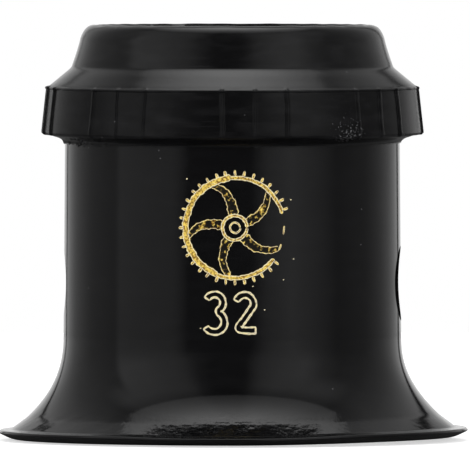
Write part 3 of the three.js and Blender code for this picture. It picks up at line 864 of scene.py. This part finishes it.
def floor():
    """A round pale table top: white to the camera, and it takes its shadow. To glossy rays it is painted dark
    grey, a painted shade in the loupe's reflections of it.
    """
    ring = np.r_[0, np.geomspace(20, 300, 24)]
    made = bpy.data.meshes.new("table_top")
    points, faces = grid(turned(ring[:, None], np.full((25, 1), -0.01), FULL_RING), close_rows=False)
    made.from_pydata((points.reshape(-1, 3) * MM).tolist(), [], faces.reshape(-1, 4).tolist())
    top = bpy.data.objects.new("table_top", made)
    bpy.context.scene.collection.objects.link(top)
    paper, tree, shader = surface("Matt_white_paper", "#fafafa", Roughness=0.9, Specular_IOR_Level=0.0)
    ray = add(tree, "ShaderNodeLightPath")
    # Painted shade in the gloss: glossy rays see the paper dark grey instead of white
    tint = add(
        tree, "ShaderNodeMix",
        {0: ray.outputs["Is Glossy Ray"], 6: linear("#fafafa"), 7: linear("#6a6a6a")}, data_type="RGBA",
    )
    tree.links.new(tint.outputs[2], shader.inputs["Base Color"])
    seen = add(
        tree, "ShaderNodeMath",
        {0: ray.outputs["Is Camera Ray"], 1: ray.outputs["Is Transmission Ray"]}, operation="MAXIMUM",
    )
    glow = add(tree, "ShaderNodeMath", {0: seen.outputs[0], 1: 0.6}, operation="MULTIPLY")
    shader.inputs["Emission Color"].default_value = (1, 1, 1, 1)
    tree.links.new(glow.outputs[0], shader.inputs["Emission Strength"])
    made.materials.append(paper)


def ramp(tree, place, stops):
    """A grey ramp over 0 to 1: stops are (place, brightness)."""
    made = add(tree, "ShaderNodeValToRGB", {"Fac": place})
    line = made.color_ramp
    while len(line.elements) < len(stops):
        line.elements.new(0.5)
    for element, (at, grey) in zip(line.elements, sorted(stops)):
        element.position = at
        element.color = (grey, grey, grey, 1)
    return made.outputs["Color"]


def studio_world():
    """White backdrop behind, a tall soft screen on either side, dark towards the camera.

    The glow follows the azimuth, with one ramp near the horizon, one higher up and one for the top, and dims
    overhead. Their stops are (degrees from the front to the right, brightness).
    """
    world = bpy.data.worlds.new("studio")
    bpy.context.scene.world = world
    world.use_nodes = True
    tree = world.node_tree
    way = add(tree, "ShaderNodeSeparateXYZ", {"Vector": add(tree, "ShaderNodeTexCoord").outputs["Generated"]})
    front = add(tree, "ShaderNodeMath", {0: way.outputs["Y"], 1: -1.0}, operation="MULTIPLY")
    turn = add(tree, "ShaderNodeMath", {0: way.outputs["X"], 1: front.outputs[0]}, operation="ARCTAN2")
    place = add(
        tree, "ShaderNodeMapRange", {"Value": turn.outputs[0], "From Min": -math.pi, "From Max": math.pi}
    )
    level = [
        (-180, 0.9), (-168, 0.85), (-160, 0.66), (-159, 0.0), (-157, 0.0), (-156, 0.6), (-148, 0.5),
        (-136, 0.34), (-112, 0.21), (-88, 0.19), (-83, 0.33), (-42, 0.27), (-38, 0.22), (-34, 0.14),
        (-30, 0.045), (13, 0.045), (24, 0.26), (41, 0.4), (60, 0.26), (76, 0.12), (104, 0.15), (120, 0.24),
        (136, 0.38), (148, 0.55), (155.5, 0.66), (156.5, 0.0), (160, 0.0), (161, 0.75), (170, 0.9),
        (180, 0.9),
    ]
    raised = [
        (-180, 0.3), (-170, 0.45), (-160, 0.52), (-159, 0.0), (-157, 0.0), (-156, 0.5), (-148, 0.42),
        (-128, 0.27), (-89, 0.21), (-83, 0.5), (-62, 0.46), (-40, 0.34), (-34, 0.28), (-25, 0.12),
        (-15, 0.05), (9, 0.05), (20, 0.28), (34, 0.42), (52, 0.5), (66, 0.27), (80, 0.16), (104, 0.18),
        (128, 0.26), (150, 0.4), (155.5, 0.4), (156.5, 0.0), (160, 0.0), (161, 0.38), (180, 0.3),
    ]
    steep = [
        (-180, 0.3), (-160, 0.5), (-128, 0.25), (-108, 0.2), (-94, 0.4), (-70, 0.42), (-40, 0.34),
        (-34, 0.3), (-25, 0.12), (-15, 0.05), (9, 0.05), (20, 0.28), (34, 0.42), (70, 0.42), (84, 0.36),
        (100, 0.2), (128, 0.26), (150, 0.4), (180, 0.3),
    ]
    low, high, top = (
        ramp(tree, place.outputs[0], [((a + 180) / 360, grey) for a, grey in stops])
        for stops in (level, raised, steep)
    )
    share = add(
        tree, "ShaderNodeMapRange", {"Value": way.outputs["Z"], "From Min": 0.04, "From Max": 0.36},
        interpolation_type="SMOOTHSTEP",
    )
    glow = add(tree, "ShaderNodeMix", {0: share.outputs[0], 6: low, 7: high}, data_type="RGBA")
    above = add(
        tree, "ShaderNodeMapRange", {"Value": way.outputs["Z"], "From Min": 0.5, "From Max": 0.8},
        interpolation_type="SMOOTHSTEP",
    )
    whole = add(tree, "ShaderNodeMix", {0: above.outputs[0], 6: glow.outputs[2], 7: top}, data_type="RGBA")
    fade = add(
        tree, "ShaderNodeMapRange",
        {"Value": way.outputs["Z"], "From Min": 0.75, "From Max": 0.92, "To Min": 1.0, "To Max": 0.45},
        interpolation_type="SMOOTHSTEP",
    )
    dimmed = add(
        tree, "ShaderNodeVectorMath", {0: whole.outputs[2], "Scale": fade.outputs[0]}, operation="SCALE",
    )
    ray = add(tree, "ShaderNodeLightPath")
    seen = add(
        tree, "ShaderNodeMath",
        {0: ray.outputs["Is Camera Ray"], 1: ray.outputs["Is Transmission Ray"]}, operation="MAXIMUM",
    )
    shown = add(
        tree, "ShaderNodeMix", {0: seen.outputs[0], 6: dimmed.outputs[0], 7: (1, 1, 1, 1)}, data_type="RGBA",
    )
    tree.links.new(shown.outputs[2], tree.nodes["Background"].inputs["Color"])


def overhead_softbox():
    """An oval lamp a metre up, brightest a little behind the loupe.

    Its brightness is A + B exp(-(x^2 + y^2) / 2), with x and y counted from the bright spot in spreads, which
    are shorter towards the camera than behind. Its back corners are masked: it shines where |x| is less than
    max(C - D y, E) and less than F - G y.
    """
    width, depth, middle, height = 1.16, 1.3, 0.1, 1.0
    bright_spot, beside, before, behind = 0.15, 0.26, -0.28, 0.34  # the spot's place and its three spreads
    lamp = bpy.data.lights.new("overhead_softbox", "AREA")
    lamp.shape = "ELLIPSE"
    lamp.size, lamp.size_y = width, depth
    lamp.energy = math.pi**2 / 4 * width * depth  # so that the strength below is the brightness seen
    lamp.use_nodes = True
    tree = lamp.node_tree
    at = add(tree, "ShaderNodeNewGeometry").outputs["Parametric"]
    place = add(tree, "ShaderNodeSeparateXYZ", {"Vector": at})
    across = add(
        tree, "ShaderNodeMapRange",
        {"Value": place.outputs["X"], "To Min": -width / 2 / beside, "To Max": width / 2 / beside},
    )
    near, far = (
        add(
            tree, "ShaderNodeMapRange",
            {"Value": place.outputs["Y"], "To Min": (middle - depth / 2 - bright_spot) / spread,
             "To Max": (middle + depth / 2 - bright_spot) / spread},
        )
        for spread in (before, behind)
    )
    along = add(tree, "ShaderNodeMath", {0: near.outputs[0], 1: far.outputs[0]}, operation="MAXIMUM")
    square = add(tree, "ShaderNodeMath", {0: across.outputs[0], 1: across.outputs[0]}, operation="MULTIPLY")
    total = add(
        tree, "ShaderNodeMath", {0: along.outputs[0], 1: along.outputs[0], 2: square.outputs[0]},
        operation="MULTIPLY_ADD",
    )
    half = add(tree, "ShaderNodeMath", {0: total.outputs[0], 1: -0.5}, operation="MULTIPLY")
    fall = add(tree, "ShaderNodeMath", {0: half.outputs[0]}, operation="EXPONENT")
    strength = add(tree, "ShaderNodeMath", {0: fall.outputs[0], 1: 1.8, 2: 0.2}, operation="MULTIPLY_ADD")
    size = add(tree, "ShaderNodeMath", {0: across.outputs[0]}, operation="ABSOLUTE")
    slant = add(tree, "ShaderNodeMath", {0: far.outputs[0], 1: -1.22, 2: 2.43}, operation="MULTIPLY_ADD")
    waist = add(tree, "ShaderNodeMath", {0: slant.outputs[0], 1: 1.77}, operation="MAXIMUM")
    back = add(tree, "ShaderNodeMath", {0: far.outputs[0], 1: -3.92, 2: 5.69}, operation="MULTIPLY_ADD")
    limit = add(tree, "ShaderNodeMath", {0: waist.outputs[0], 1: back.outputs[0]}, operation="MINIMUM")
    open_part = add(tree, "ShaderNodeMath", {0: size.outputs[0], 1: limit.outputs[0]}, operation="LESS_THAN")
    shown = add(tree, "ShaderNodeMath", {0: strength.outputs[0], 1: open_part.outputs[0]}, operation="MULTIPLY")
    tree.links.new(shown.outputs[0], tree.nodes["Emission"].inputs["Strength"])
    made = bpy.data.objects.new("overhead_softbox", lamp)
    made.location = (-0.01, middle, height)
    made.visible_camera = False
    bpy.context.scene.collection.objects.link(made)


def fill_lamps():
    """A soft lamp on either side of the camera, so that a matt colour renders about as it is written.

    The gloss doesn't mirror them: in the photograph the black is lit from the sides and from above alone.
    """
    aside, ahead, height = 0.6, 1.1, 0.45
    for side in (-1, 1):
        lamp = bpy.data.lights.new("fill_lamp", "AREA")
        lamp.size = 0.6
        lamp.energy = 7.0
        made = bpy.data.objects.new("fill_lamp", lamp)
        made.location = (aside * side, -ahead, height)
        made.rotation_euler = (math.radians(70), 0, side * math.atan2(aside, ahead))
        made.visible_glossy = False
        made.visible_camera = False
        bpy.context.scene.collection.objects.link(made)


def camera():
    """A long lens level with the loupe, a little above, as the photograph was taken."""
    distance, elevation = 1300.0, math.radians(1.25)
    aimed_right, aimed_up, frame_width = 0.2, 15.77, 36.15  # at the loupe, in millimetres
    shot = bpy.data.cameras.new("photo_camera")
    shot.sensor_width = 36.0
    shot.lens = shot.sensor_width * distance / frame_width
    made = bpy.data.objects.new("photo_camera", shot)
    made.location = [
        aimed_right * MM,
        -distance * math.cos(elevation) * MM,
        (aimed_up + distance * math.sin(elevation)) * MM,
    ]
    made.rotation_euler = (math.pi / 2 - elevation, 0, 0)
    bpy.context.scene.collection.objects.link(made)
    bpy.context.scene.camera = made


floor()
studio_world()
overhead_softbox()
fill_lamps()
camera()
bpy.context.scene.view_settings.view_transform = "Standard"
